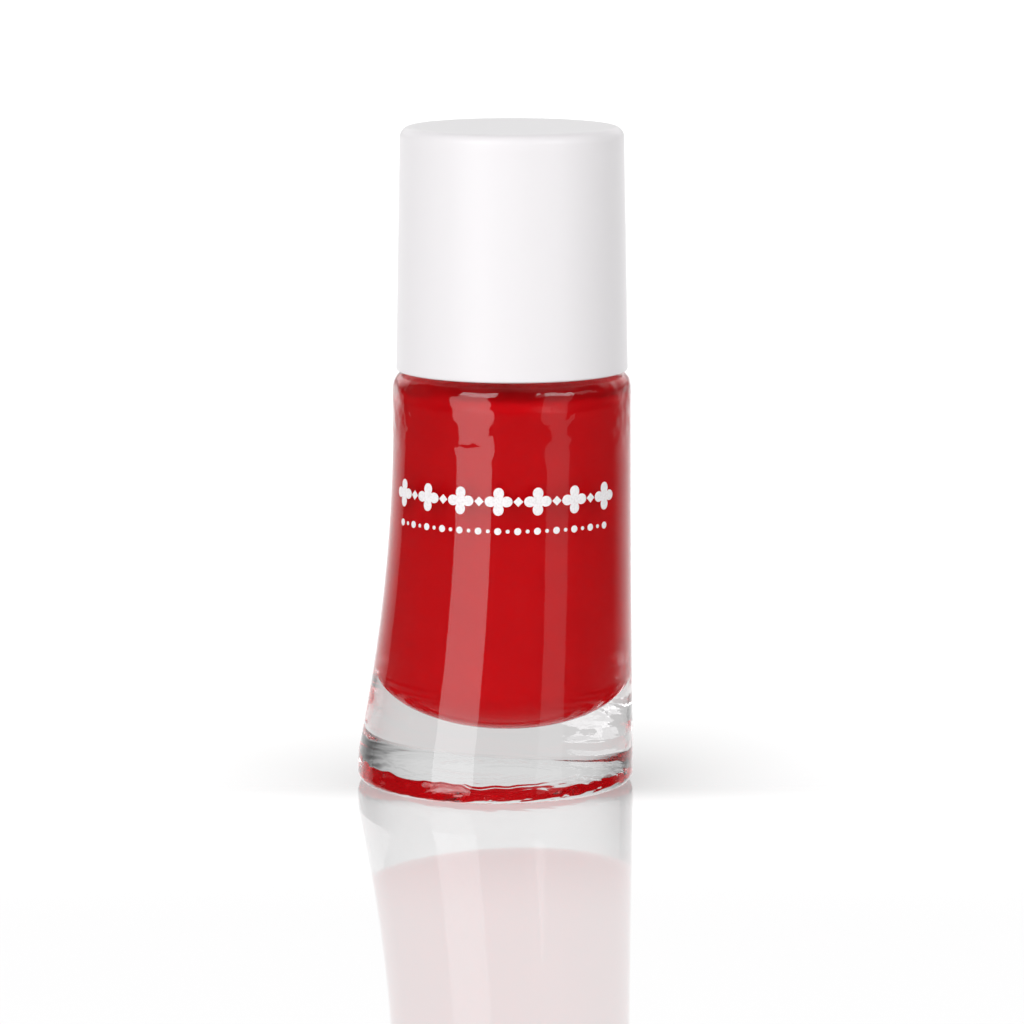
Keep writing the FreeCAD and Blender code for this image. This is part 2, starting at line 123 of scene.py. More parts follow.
# ---------------------------------------------------------------- shapes
def add_piece(name, points, faces, body=None, replaces=()):
    """Mesh object from a point array and a list of face index arrays, smooth shaded, riding on a body."""
    mesh = bpy.data.meshes.new(name)
    rows = [row for block in faces for row in block.tolist()]
    mesh.from_pydata(points.tolist(), [], rows)
    mesh.validate()
    mesh.shade_smooth()
    piece = bpy.data.objects.new(name, mesh)
    bpy.context.scene.collection.objects.link(piece)
    if body:
        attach(piece, body)
    if replaces:
        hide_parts(*replaces)
    return piece


def line(start, end, steps):
    """Points from start towards end in equal steps, without the end itself."""
    share = np.arange(steps)[:, None] / steps
    return np.asarray(start) * (1 - share) + np.asarray(end) * share


def arc(centre, radius, first, last, steps):
    """Points on a circle from the first angle towards the last, in degrees, without the last."""
    angle = np.radians(first + (last - first) * np.arange(steps) / steps)
    return np.stack([centre[0] + radius * np.cos(angle), centre[1] + radius * np.sin(angle)], 1)


def grid_faces(rings, around, start=0):
    """Quads between neighbouring rings of a grid that closes on itself round the rings."""
    ring, step = np.meshgrid(np.arange(rings - 1), np.arange(around), indexing="ij")
    after = (step + 1) % around
    low = start + ring * around
    high = low + around
    return np.stack([low + step, low + after, high + after, high + step], -1).reshape(-1, 4)


def cap_faces(ring_start, around, pole, upward):
    """Triangles from a ring to one pole point."""
    step = np.arange(around)
    after = (step + 1) % around
    pair = (step, after) if upward else (after, step)
    return np.stack([ring_start + pair[0], ring_start + pair[1], np.full(around, pole)], -1)


def turned(radius, height, centre_x, around):
    """Closed surface of round sections: each ring is centre + radius * (cos a, sin a) at its height.

    radius and height may be one number for each ring or a table of ring by angle. The first and last rings
    have radius zero and become poles."""
    angle = 2 * np.pi * np.arange(around) / around
    radius = np.broadcast_to(radius if radius.ndim == 2 else radius[:, None], (len(height), around))
    height = np.broadcast_to(height if height.ndim == 2 else height[:, None], (len(height), around))
    x = centre_x[:, None] + radius * np.cos(angle)
    y = radius * np.sin(angle)
    rings = np.stack([x, y, height], -1)[1:-1]
    count = len(rings)
    first = [centre_x[0], 0.0, height[0, 0]]
    last = [centre_x[-1], 0.0, height[-1, 0]]
    points = np.concatenate([rings.reshape(-1, 3), [first], [last]])
    poles = count * around
    faces = [
        grid_faces(count, around),
        cap_faces(0, around, poles, False),
        cap_faces((count - 1) * around, around, poles + 1, True),
    ]
    return points, faces


def smooth_least(first, second, blend):
    """The smaller of two arrays, rounded where they cross: -b * log(exp(-p / b) + exp(-q / b))."""
    return -blend * np.logaddexp(-first / blend, -second / blend)


def flare(height):
    """Radius and centre of the glass at a height: both change with the square of the drop."""
    drop = np.clip(1 - height / FLARE_TOP, 0, None) ** 2
    radius = smooth_least(BODY_RADIUS + FLARE_RADIUS * drop, np.full_like(drop, FOOT_RADIUS), FLARE_BLEND)
    centre = -smooth_least(-(NECK_X - FLARE_SHIFT * drop), np.zeros_like(drop), FLARE_BLEND)
    return radius, centre


def smooth_step(value, low, high):
    """0 below low, 1 above high, and 3 s^2 - 2 s^3 of the share s between them."""
    share = np.clip((value - low) / (high - low), 0, 1)
    return share * share * (3 - 2 * share)


def thread_lift(height, angle):
    """Rise of the screw ridge: a trapezoid round z = start + pitch * turns, faded at both ends."""
    turn = angle / (2 * np.pi)
    lift = np.zeros(np.broadcast(height, angle).shape)
    for wrap in range(math.ceil(THREAD_TURNS)):
        along = turn + wrap
        middle = THREAD_START + THREAD_PITCH * along
        off = np.abs(height - middle)
        slope = np.clip((THREAD_FOOT - off) / (THREAD_FOOT - THREAD_CREST), 0, 1)
        inside = smooth_step(along, 0.0, 0.06) * (1 - smooth_step(along, THREAD_TURNS - 0.06, THREAD_TURNS))
        lift = np.maximum(lift, THREAD_HEIGHT * slope * inside)
    return lift


def glass_outline(around):
    """Rings of the glass from under the foot, up the outside, over the rim and down the inside."""
    cone = line((0, PUSH_UP_DEPTH), (PUSH_UP_STEP_RADIUS, PUSH_UP_STEP), 36)
    step = line((PUSH_UP_STEP_RADIUS, PUSH_UP_STEP), (PUSH_UP_RADIUS, 0), 10)
    heel_x = FOOT_RADIUS - HEEL_RADIUS
    ring = line((PUSH_UP_RADIUS, 0), (heel_x, 0), 8)
    heel = arc((heel_x, HEEL_RADIUS), HEEL_RADIUS, -90, 0, 14)
    under = np.concatenate([cone, step, ring, heel])

    side = np.linspace(HEEL_RADIUS, BODY_TOP - SHOULDER_RADIUS, 84)[:-1]
    side_radius, side_centre = flare(side)

    corner_x = BODY_RADIUS - SHOULDER_RADIUS
    corner = arc((corner_x, BODY_TOP - SHOULDER_RADIUS), SHOULDER_RADIUS, 0, 90, 14)
    foot_x = NECK_RADIUS + NECK_FOOT_RADIUS
    shoulder = line((corner_x, BODY_TOP), (foot_x, BODY_TOP), 8)
    neck_foot = arc((foot_x, BODY_TOP + NECK_FOOT_RADIUS), NECK_FOOT_RADIUS, 270, 180, 8)
    rim_z = NECK_TOP - RIM_RADIUS
    neck = line((NECK_RADIUS, BODY_TOP + NECK_FOOT_RADIUS), (NECK_RADIUS, rim_z), 74)
    rim = arc((NECK_RADIUS - RIM_RADIUS, rim_z), RIM_RADIUS, 0, 90, 8)
    mouth = arc((BORE_RADIUS + RIM_RADIUS, rim_z), RIM_RADIUS, 90, 180, 8)
    flat = line((NECK_RADIUS - RIM_RADIUS, NECK_TOP), (BORE_RADIUS + RIM_RADIUS, NECK_TOP), 4)
    bore = line((BORE_RADIUS, rim_z), (BORE_RADIUS, ROOM_CEILING + BORE_FLARE), 16)
    throat = arc((BORE_RADIUS + BORE_FLARE, ROOM_CEILING + BORE_FLARE), BORE_FLARE, 180, 270, 8)
    above = np.concatenate([corner, shoulder, neck_foot, neck, rim, flat, mouth, bore, throat])

    room = room_outline(0.0)
    radius = np.concatenate([under[:, 0], side_radius, above[:, 0], room[:, 0]])
    height = np.concatenate([under[:, 1], side, above[:, 1], room[:, 1]])
    centre = np.concatenate([np.zeros(len(under)), side_centre, np.full(len(above), NECK_X),
                             room_centre(room[:, 1])])
    # The step from the neck's axis to the room's lies on the flat ceiling.
    angle = 2 * np.pi * np.arange(around) / around
    table = np.broadcast_to(radius[:, None], (len(radius), around)).copy()
    first = len(under) + len(side) + len(corner) + len(shoulder) + len(neck_foot)
    rows = slice(first, first + len(neck))
    table[rows] += thread_lift(height[rows, None], angle[None, :])
    levels = np.broadcast_to(height[:, None], table.shape).copy()
    rows = slice(1, len(cone) + len(step))
    uneven = push_up_unevenness(radius[rows, None], angle[None, :])
    levels[rows] += uneven * (height[rows, None] / PUSH_UP_STEP)
    rows = slice(len(cone) + len(step) + 2, len(under) + 6)
    table[rows] += heel_unevenness(height[rows, None], angle[None, :])
    return table, levels, centre


def ripple(angle, seed, first, last):
    """Sum of draw * sin(n a + phase) / sqrt(n), for whole numbers n of waves from first up to last."""
    draw = np.random.default_rng(seed)
    total = np.zeros_like(angle)
    for waves in range(first, last):
        total = total + draw.normal() * np.sin(waves * angle + draw.uniform(0, 2 * np.pi)) / waves ** 0.5
    return total


def push_up_unevenness(radius, angle):
    """The push-up stands higher on one side, with a nick where the two levels meet and a ragged edge."""
    turn = (angle - math.radians(PUSH_UP_NICK)) / math.radians(2.0)
    side = -np.tanh(turn) * np.tanh(-(angle - math.radians(PUSH_UP_NICK - 150)) / -0.2)
    near_step = np.clip(radius / PUSH_UP_STEP_RADIUS, 0, 1) ** 6
    ragged = PUSH_UP_RAGGED * ripple(angle, 3, 9, 40)
    away_from_pole = np.clip(radius / PUSH_UP_CALM_RADIUS, 0, 1) ** 2
    waves = PUSH_UP_WAVES * away_from_pole * ripple(angle + radius * 700, 5, 3, 22)
    return near_step * (PUSH_UP_UNEVEN * side + ragged) + waves


def heel_unevenness(height, angle):
    """Knurl marks round the heel: short ripples that fade up the wall."""
    fade = 1 - smooth_step(height, 1.4 * MM, KNURL_TOP)
    return KNURL * fade * ripple(angle + 25 * height / FOOT_RADIUS, 11, 20, 60)


def room_centre(height):
    """The room's axis leans with the flare: from the bowl's equator up to where the wall is straight."""
    equator = BOWL_FLOOR + BOWL_HEIGHT
    share = np.clip((height - equator) / (ROOM_WIDE - equator), 0, 1)
    return BOWL_X + (ROOM_X - BOWL_X) * share


def room_outline(grown):
    """Half outline of the room inside, from its ceiling down to the bowl's pole, grown outwards."""
    corner_x = ROOM_RADIUS - ROOM_CORNER
    corner_z = ROOM_CEILING - ROOM_CORNER
    edge = BORE_RADIUS + BORE_FLARE + grown
    ceiling = line((edge, ROOM_CEILING + grown), (corner_x, ROOM_CEILING + grown), 8)[1:]
    corner = arc((corner_x, corner_z), ROOM_CORNER + grown, 90, 0, 20)
    equator = BOWL_FLOOR + BOWL_HEIGHT
    wall = line((ROOM_RADIUS + grown, corner_z), (ROOM_RADIUS + grown, ROOM_WIDE), 12)
    fall = np.linspace(0, 1, 24)[:-1]
    lower_x = ROOM_RADIUS + grown - (ROOM_RADIUS - BOWL_RADIUS) * fall
    lower = np.stack([lower_x, ROOM_WIDE + (equator - ROOM_WIDE) * fall], 1)
    angle = np.radians(np.linspace(0, 90, 48))
    bowl_z = equator - (BOWL_HEIGHT + grown) * np.sin(angle)
    bowl = np.stack([(BOWL_RADIUS + grown) * np.cos(angle), bowl_z], 1)
    bowl[-1, 0] = 0
    return np.concatenate([ceiling, corner, wall, lower, bowl])


def make_glass():
    """Glass: centre(z) + radius(z, a) * (cos a, sin a), with the thread, push-up and heel added."""
    around = 192
    points, faces = turned(*glass_outline(around), around)
    return add_piece("bottle_glass", points, faces, "bottle", ["bottle"])


def make_lacquer():
    """Contents and the film above them: a turned solid that reaches a little into the glass, to wet it."""
    outside = room_outline(WETTING)[::-1]
    outside[0, 0] = 0
    throat = (BORE_RADIUS + BORE_FLARE, ROOM_CEILING + BORE_FLARE)
    bore_out = arc(throat, BORE_FLARE - WETTING, 270, 180, 8)
    bore_in = arc(throat, BORE_FLARE + FILM, 180, 270, 8)
    film_top = [[BORE_RADIUS + WETTING, FILM_TOP], [BORE_RADIUS - FILM * 0.6, FILM_TOP]]
    inner_corner = arc((ROOM_RADIUS - ROOM_CORNER, ROOM_CEILING - ROOM_CORNER), ROOM_CORNER - FILM, 90, 60, 6)
    start = (BORE_RADIUS + BORE_FLARE, ROOM_CEILING - FILM)
    ceiling = line(start, (inner_corner[0, 0], ROOM_CEILING - FILM), 6)
    dip = inner_corner[-1]
    fall = np.linspace(0, 1, 10)[1:]
    creep = np.stack([dip[0] - 0.9 * MM * fall, FILL_LEVEL + (dip[1] - FILL_LEVEL) * (1 - fall) ** 2], 1)
    level = line(creep[-1], (0, FILL_LEVEL), 6)[1:]
    top = [bore_out, film_top, bore_in]
    inside = np.concatenate([*top, ceiling, inner_corner, creep, level, [[0, FILL_LEVEL]]])
    outline = np.concatenate([outside, inside])
    centre = room_centre(outline[:, 1])
    above = slice(len(outside), len(outside) + sum(len(part) for part in top))
    centre[above] = NECK_X
    points, faces = turned(outline[:, 0], outline[:, 1], centre, 144)
    return add_piece("lacquer_fill", points, faces, "bottle", ["lacquer"])


def make_cap_shell():
    """Outer cap: one outline from the roof's outside pole round the mouth to the ceiling's pole."""
    top_radius = CAP_RADIUS - CAP_DRAFT
    lean = math.degrees(math.atan2(CAP_DRAFT, CAP_TOP - CAP_BOTTOM))
    roof = line((0, CAP_TOP), (top_radius - CAP_TOP_EDGE, CAP_TOP), 24)
    edge = arc((top_radius - CAP_TOP_EDGE, CAP_TOP - CAP_TOP_EDGE), CAP_TOP_EDGE, 90, -lean, 20)
    foot_z = CAP_BOTTOM + CAP_MOUTH_EDGE
    side = line(edge[-1] + (edge[-1] - edge[-2]), (CAP_RADIUS, foot_z), 60)[1:]
    mouth = arc((CAP_RADIUS - CAP_MOUTH_EDGE, foot_z), CAP_MOUTH_EDGE, 0, -90, 8)
    inner_x = CAP_RADIUS - CAP_WALL
    lip_radius = CAP_MOUTH_EDGE / 2
    lip = arc((inner_x + lip_radius, CAP_BOTTOM + lip_radius), lip_radius, 270, 180, 5)
    ceiling_z = CAP_TOP - CAP_ROOF
    wall_top = (top_radius - CAP_WALL, ceiling_z - CAP_INSIDE_CORNER)
    wall = line((inner_x, CAP_BOTTOM + lip_radius), wall_top, 30)
    inside_x = wall_top[0] - CAP_INSIDE_CORNER
    inside_corner = arc((inside_x, wall_top[1]), CAP_INSIDE_CORNER, 0, 90, 6)
    ceiling = line((inside_x, ceiling_z), (0, ceiling_z), 10)
    outline = np.concatenate([roof, edge, side, mouth, lip, wall, inside_corner, ceiling, [[0, ceiling_z]]])
    outline = outline[::-1]
    points, faces = turned(outline[:, 0], outline[:, 1], np.full(len(outline), NECK_X), 160)
    return add_piece("outer_cap_shell", points, faces, "cap", ["outer_cap"])


def rounded_bar(low, high, lip):
    """Box from low to high as a grid: a superellipse section in the first two axes, drawn in at both ends."""
    around = 24
    angle = 2 * np.pi * np.arange(around) / around
    power = 0.35
    across = np.sign(np.cos(angle)) * np.abs(np.cos(angle)) ** power
    along = np.sign(np.sin(angle)) * np.abs(np.sin(angle)) ** power
    low = np.asarray(low)
    high = np.asarray(high)
    middle = (low + high) / 2
    half = (high - low) / 2
    heights = np.array([low[2], low[2], low[2] + lip, high[2] - lip, high[2], high[2]])
    inset = np.array([0.0, lip, 0.0, 0.0, lip, 0.0])
    spread = np.array([0.0, 1.0, 1.0, 1.0, 1.0, 0.0])
    x = middle[0] + spread[:, None] * (half[0] - inset[:, None]) * across
    y = middle[1] + spread[:, None] * (half[1] - inset[:, None]) * along
    z = np.broadcast_to(heights[:, None], x.shape)
    rings = np.stack([x, y, z], -1)[1:-1]
    points = np.concatenate([rings.reshape(-1, 3), [[middle[0], middle[1], low[2]]],
                             [[middle[0], middle[1], high[2]]]])
    count = len(rings)
    faces = [grid_faces(count, around), cap_faces(0, around, count * around, False),
             cap_faces((count - 1) * around, around, count * around + 1, True)]
    return points, faces


def gather(parts):
    """Several shapes as one: their points in a row and their faces counted on."""
    points = []
    faces = []
    start = 0
    for part_points, part_faces in parts:
        points.append(part_points)
        faces.extend(block + start for block in part_faces)
        start += len(part_points)
    return np.concatenate(points), faces


def turn_about_neck(points, angle):
    """Points turned about the neck's axis; they are given round x = 0."""
    cos, sin = math.cos(angle), math.sin(angle)
    x = points[:, 0] * cos - points[:, 1] * sin + NECK_X
    y = points[:, 0] * sin + points[:, 1] * cos
    return np.stack([x, y, points[:, 2]], 1)


def make_cap_ribs():
    """Ribs inside the cap: a grip beside the liner and a stop above it, at equal steps round the axis."""
    reach = CAP_RADIUS - CAP_DRAFT - CAP_WALL / 2
    half = RIB_WIDTH / 2
    liner_radius = (liner_high.x - liner_low.x) / 2
    bars = [
        ((liner_radius, -half, CAP_BOTTOM + RIB_LIFT), (reach, half, LINER_TOP)),
        ((RIB_STOP_RADIUS, -half, LINER_TOP), (reach, half, CAP_TOP - CAP_ROOF * 0.75)),
    ]
    parts = []
    for number in range(RIB_COUNT):
        for low, high in bars:
            points, faces = rounded_bar(low, high, RIB_LIP)
            parts.append((turn_about_neck(points, 2 * math.pi * number / RIB_COUNT), faces))
    points, faces = gather(parts)
    return add_piece("outer_cap_ribs", points, faces, "cap")


def make_bristles():
    """Tuft of filaments: each is a thin tube whose distance from the axis grows, then draws in to the tip."""
    count = 230
    rings = 9
    around = 5
    hole = 1.16 * MM
    held = 1.5 * MM
    widest_z = 13.2 * MM
    ferrule_z = stem_low.z
    tuft_radius = (tuft_high.x - tuft_low.x) / 2
    thread = 0.05 * MM
    index = np.arange(count) + 0.5
    share = np.sqrt(index / count)
    turn = index * math.pi * (3 - math.sqrt(5))
    wobble = np.random.default_rng(7).uniform(-1, 1, (count, 3))

    along = np.linspace(0, 1, rings)
    dome = 1 - np.sqrt(1 - 0.92 * share ** 2)
    tip_z = tuft_low.z + (widest_z - tuft_low.z) * dome + 0.25 * MM * (1 + wobble[:, 0])
    top_z = tuft_high.z - held
    height = top_z + (tip_z[:, None] - top_z) * along ** 0.9
    opened = smooth_step(-height, -ferrule_z, -widest_z)
    closed = smooth_step(-height, -widest_z, -tuft_low.z)
    spread = hole + (tuft_radius - thread - hole) * opened - 0.45 * MM * closed
    reach = share[:, None] * spread
    bend = 0.05 * MM * opened
    x = NECK_X + reach * np.cos(turn)[:, None] + bend * wobble[:, 1:2]
    y = reach * np.sin(turn)[:, None] + bend * wobble[:, 2:3]

    angle = 2 * np.pi * np.arange(around) / around
    taper = thread * (1 - 0.5 * along ** 6)
    ring_x = x[..., None] + taper[None, :, None] * np.cos(angle)
    ring_y = y[..., None] + taper[None, :, None] * np.sin(angle)
    ring_z = np.broadcast_to(height[..., None], ring_x.shape)
    points = np.stack([ring_x, ring_y, ring_z], -1).reshape(-1, 3)
    one = grid_faces(rings, around)[:, ::-1]
    start = (np.arange(count) * rings * around)[:, None, None]
    sides = (one[None] + start).reshape(-1, 4)
    ends = np.stack([np.arange(around)[::-1] + (rings - 1) * around, np.arange(around)])
    ends = (ends[None] + start).reshape(-1, around)
    return add_piece("brush_tuft", points, [sides, ends], "brush", ["brush_bristles"])


# ---------------------------------------------------------------- printed ornament on the front
PRINT_PROUD = 0.02 * MM
BLOSSOM_SIZE = 1.42 * MM
BLOSSOM_HEIGHT = 30.7 * MM
BLOSSOM_COUNT = 7
LOZENGE_SIZE = 0.5 * MM
BEAD_ROW_HEIGHT = 27.7 * MM
BEADS_PER_STEP = 4
LARGE_BEAD = 0.36 * MM
SMALL_BEAD = 0.2 * MM
PRINT_LEFT = -62.0
PRINT_RIGHT = 50.0


def on_glass(angle, height, proud):
    """Points on the outside of the glass at an angle from the front and a height, standing proud of it."""
    radius, centre = flare(height)
    x = centre + (radius + proud) * np.sin(angle)
    return np.stack([x, -(radius + proud) * np.cos(angle), height], -1)


def printed_patch(angle, height, size, outline, around=48):
    """Thin closed pad of ink: an outline in polar form, shrunk to a point on its face and on its back."""
    turn = 2 * np.pi * np.arange(around) / around
    edge = outline(turn) * size
    share = np.array([0.35, 0.7, 0.93, 1.0, 1.0, 0.6])
    proud = np.array([1.0, 1.0, 1.0, 0.6, -0.5, -0.5]) * PRINT_PROUD
    radius = flare(np.array([height]))[0][0]
    across = share[:, None] * edge * np.cos(turn)
    rise = share[:, None] * edge * np.sin(turn)
    skin = on_glass(angle + across / radius, height + rise, proud[:, None])
    face_pole = on_glass(np.array(angle), np.array(height), PRINT_PROUD)
    back_pole = on_glass(np.array(angle), np.array(height), -0.5 * PRINT_PROUD)
    points = np.concatenate([skin.reshape(-1, 3), [face_pole], [back_pole]])
    rings = len(share)
    faces = [grid_faces(rings, around)[:, ::-1], cap_faces(0, around, rings * around, True),
             cap_faces((rings - 1) * around, around, rings * around + 1, False)]
    return points, faces


def blossom(turn):
    """Four round petals: 0.42 + 0.58 * |cos 2t| ** 0.8, with the petals up, down and to the sides."""
    return 0.42 + 0.58 * np.abs(np.cos(2 * turn)) ** 0.8


def lozenge(turn):
    """Diamond: 1 / (|cos t| + |sin t|)."""
    return 1 / (np.abs(np.cos(turn)) + np.abs(np.sin(turn)))


def disc(turn):
    """Circle: 1 at every angle."""
    return np.ones_like(turn)


def make_print():
    """Row of blossoms with lozenges between them, over a row of beads."""
    first = math.radians(PRINT_LEFT)
    last = math.radians(PRINT_RIGHT)
    step = (last - first) / (BLOSSOM_COUNT - 1)
    parts = []
    for number in range(BLOSSOM_COUNT):
        angle = first + step * number
        parts.append(printed_patch(angle, BLOSSOM_HEIGHT, BLOSSOM_SIZE, blossom))
        if number < BLOSSOM_COUNT - 1:
            parts.append(printed_patch(angle + step / 2, BLOSSOM_HEIGHT, LOZENGE_SIZE, lozenge, 24))
    bead_count = BEADS_PER_STEP * (BLOSSOM_COUNT - 1) + 1
    for number in range(bead_count):
        angle = first + step * number / BEADS_PER_STEP
        size = LARGE_BEAD if number % 2 == 0 else SMALL_BEAD
        parts.append(printed_patch(angle, BEAD_ROW_HEIGHT, size, disc, 24))
    points, faces = gather(parts)
    return add_piece("front_print", points, faces, "bottle")


# ---------------------------------------------------------------- shader language
class Field:
    """A value in a material; arithmetic on it adds Math nodes."""

    def __init__(self, finish, socket):
        self.finish = finish
        self.socket = socket

    def math(self, operation, *others):
        return self.finish.node("ShaderNodeMath", {"operation": operation}, [self, *others])

    def __add__(self, other):
        return self.math("ADD", other)

    def __radd__(self, other):
        return self.math("ADD", other)

    def __sub__(self, other):
        return self.math("SUBTRACT", other)

    def __rsub__(self, other):
        return self.finish.node("ShaderNodeMath", {"operation": "SUBTRACT"}, [other, self])

    def __mul__(self, other):
        return self.math("MULTIPLY", other)

    def __rmul__(self, other):
        return self.math("MULTIPLY", other)

    def __truediv__(self, other):
        return self.math("DIVIDE", other)

    def __pow__(self, other):
        return self.math("POWER", other)

    def step(self, low, high):
        """0 below low, 1 above high, and a smooth rise between them."""
        values = {"Value": self, "From Min": low, "From Max": high}
        return self.finish.node("ShaderNodeMapRange", {"interpolation_type": "SMOOTHSTEP"}, values)


class Finish:
    """A material, or the world, and its nodes."""

    def __init__(self, owner):
        owner.use_nodes = True
        self.owner = owner
        self.tree = owner.node_tree
        self.tree.nodes.clear()

    def node(self, kind, settings=None, values=None, out=0):
        """Adds a node: its settings first, then the values or links of its sockets, by name or in order."""
        made = self.tree.nodes.new(kind)
        for key, setting in (settings or {}).items():
            setattr(made, key, setting)
        pairs = values.items() if isinstance(values, dict) else enumerate(values or [])
        for key, value in pairs:
            socket = made.inputs[key]
            if isinstance(value, Field):
                self.tree.links.new(value.socket, socket)
            else:
                socket.default_value = value
        return Field(self, made.outputs[out]) if made.outputs else made

    def place(self):
        """Object coordinates."""
        return self.node("ShaderNodeTexCoord", out="Object")

    def split(self, vector):
        """The three parts of a vector or colour."""
        parted = self.node("ShaderNodeSeparateXYZ", None, [vector])
        sockets = parted.socket.node.outputs
        return [Field(self, sockets[number]) for number in range(3)]

    def stretched(self, vector, scale):
        """Coordinates multiplied axis by axis, so that a texture's grain is longer where scale is small."""
        return self.node("ShaderNodeMapping", None, {"Vector": vector, "Scale": scale})

    def noise(self, vector, scale, detail):
        """Fractal noise with a grain of 1 / scale metres."""
        return self.node("ShaderNodeTexNoise", None, {"Vector": vector, "Scale": scale, "Detail": detail})

    def cells(self, vector, scale, out="Distance"):
        """Distance to the nearest of many scattered points, or a random colour for each of them."""
        values = {"Vector": vector, "Scale": scale}
        return self.node("ShaderNodeTexVoronoi", {"feature": "F1"}, values, out)

    def ray(self, kind):
        """1 for rays of this kind, else 0; for the set only."""
        return self.node("ShaderNodeLightPath", out=kind)

    def mixed(self, share, first, second):
        """Shader between first and second."""
        return self.node("ShaderNodeMixShader", None, [share, first, second])

    def emission(self, colour, strength):
        return self.node("ShaderNodeEmission", None, {"Color": colour, "Strength": strength})

    def diffuse(self, grey):
        return self.node("ShaderNodeBsdfDiffuse", None, {"Color": (grey, grey, grey, 1)})

    def blend(self, share, first, second):
        """Colour between first and second."""
        blended = self.node("ShaderNodeMix", {"data_type": "RGBA"}, {0: share, 6: first, 7: second})
        return Field(self, blended.socket.node.outputs[2])

    def bump(self, height, distance, strength=1.0):
        """Normal of a surface raised by height * distance."""
        values = {"Strength": strength, "Distance": distance, "Height": height}
        return self.node("ShaderNodeBump", None, values)

    def output(self, shader):
        """Joins a shader to the surface of the material or the world."""
        owned_by = "World" if isinstance(self.owner, bpy.types.World) else "Material"
        self.node("ShaderNodeOutput" + owned_by, None, {"Surface": shader})


def new_finish(name):
    return Finish(bpy.data.materials.new(name))


def gloss(finish, **values):
    """Principled shader; names of sockets are written with underscores."""
    sockets = {key.replace("_", " "): value for key, value in values.items()}
    return finish.node("ShaderNodeBsdfPrincipled", None, sockets)


# ---------------------------------------------------------------- finishes
def glass_finish():
    """Clear moulded glass, with the slow waviness that a mould leaves."""
    finish = new_finish("moulded_glass")
    place = finish.place()
    height = finish.split(place)[2]
    slow = finish.noise(finish.stretched(place, (1.0, 1.0, 0.4)), 150.0, 1.0)
    fine = finish.noise(place, 1100.0, 2.0)
    chilled = finish.noise(finish.stretched(place, (0.9, 0.9, 1.2)), 330.0, 1.5)
    at_shoulder = height.step(BODY_TOP - 9.0 * MM, BODY_TOP - 4.0 * MM)
    waviness = 0.05 * slow + 0.003 * fine + 0.36 * chilled * at_shoulder
    normal = finish.bump(waviness, 1.0 * MM)
    finish.output(gloss(finish, Base_Color=(0.98, 0.98, 0.98, 1), Roughness=0.0, IOR=1.5,
                        Transmission_Weight=1.0, Normal=normal))
    return finish.owner


def lacquer_finish():
    """Opaque creme lacquer: an even red with a faint settling of its pigment."""
    finish = new_finish("red_creme_lacquer")
    cloud = finish.noise(finish.place(), 160.0, 3.0)
    colour = finish.blend(cloud.step(0.3, 0.7), (0.885, 0.0032, 0.0080, 1), (0.915, 0.0040, 0.0090, 1))
    finish.output(gloss(finish, Base_Color=colour, Roughness=0.12, Specular_IOR_Level=0.08))
    return finish.owner


def cap_finish():
    """Glossy white moulded plastic: faint flow marks, and a few dark specks of dust on top."""
    finish = new_finish("white_cap_plastic")
    place = finish.place()
    height = finish.split(place)[2]
    flow = finish.noise(finish.stretched(place, (1.0, 1.0, 0.3)), 240.0, 3.0)
    cells = finish.cells(place, 420.0)
    which = finish.cells(place, 420.0, "Color")
    chosen = finish.split(which)[0].step(0.93, 0.94)
    dust = (1 - cells.step(0.03, 0.10)) * chosen * height.step(CAP_TOP - 0.6 * MM, CAP_TOP - 0.2 * MM)
    clean = finish.blend(flow, (0.828, 0.817, 0.822, 1), (0.843, 0.832, 0.837, 1))
    colour = finish.blend(dust * 0.6, clean, (0.30, 0.28, 0.27, 1))
    peel = finish.noise(place, 1400.0, 2.0)
    rough = 0.27 + 0.05 * flow
    normal = finish.bump(peel, 0.004 * MM, 0.5)
    finish.output(gloss(finish, Base_Color=colour, Roughness=rough, Specular_IOR_Level=0.3, Normal=normal))
    return finish.owner


def ink_finish():
    """White screen ink with a slightly open print."""
    finish = new_finish("white_screen_ink")
    place = finish.place()
    mesh_marks = finish.noise(place, 5000.0, 2.0)
    colour = finish.blend(mesh_marks.step(0.25, 0.6), (0.78, 0.74, 0.745, 1), (0.9, 0.88, 0.885, 1))
    normal = finish.bump(mesh_marks, 0.006 * MM)
    finish.output(gloss(finish, Base_Color=colour, Roughness=0.42, Normal=normal))
    return finish.owner


def satin_finish(name, colour, shade, rough):
    """Unpigmented moulded plastic: a satin skin with fine flow marks."""
    finish = new_finish(name)
    place = finish.place()
    flow = finish.noise(finish.stretched(place, (1.0, 1.0, 0.25)), 420.0, 3.0)
    grain = finish.noise(place, 3800.0, 2.0)
    tint = finish.blend(flow, colour, shade)
    normal = finish.bump(grain, 0.008 * MM, 0.6)
    finish.output(gloss(finish, Base_Color=tint, Roughness=rough + 0.08 * grain, Normal=normal))
    return finish.owner


def stem_finish():
    """White stem, wet with lacquer below the level, with a ragged edge and a few runs above it."""
    finish = new_finish("wetted_stem")
    place = finish.place()
    height = finish.split(place)[2]
    ragged = finish.noise(finish.stretched(place, (1.0, 1.0, 0.25)), 700.0, 3.0)
    wet = 1 - (height + 3.0 * MM * (ragged - 0.5)).step(FILL_LEVEL - 0.3 * MM, FILL_LEVEL + 0.1 * MM)
    dry = finish.blend(ragged, (0.80, 0.80, 0.79, 1), (0.86, 0.86, 0.85, 1))
    colour = finish.blend(wet, dry, (0.56, 0.006, 0.008, 1))
    normal = finish.bump(ragged, 0.05 * MM, 0.5)
    finish.output(gloss(finish, Base_Color=colour, Roughness=0.42 - 0.34 * wet, Normal=normal))
    return finish.owner


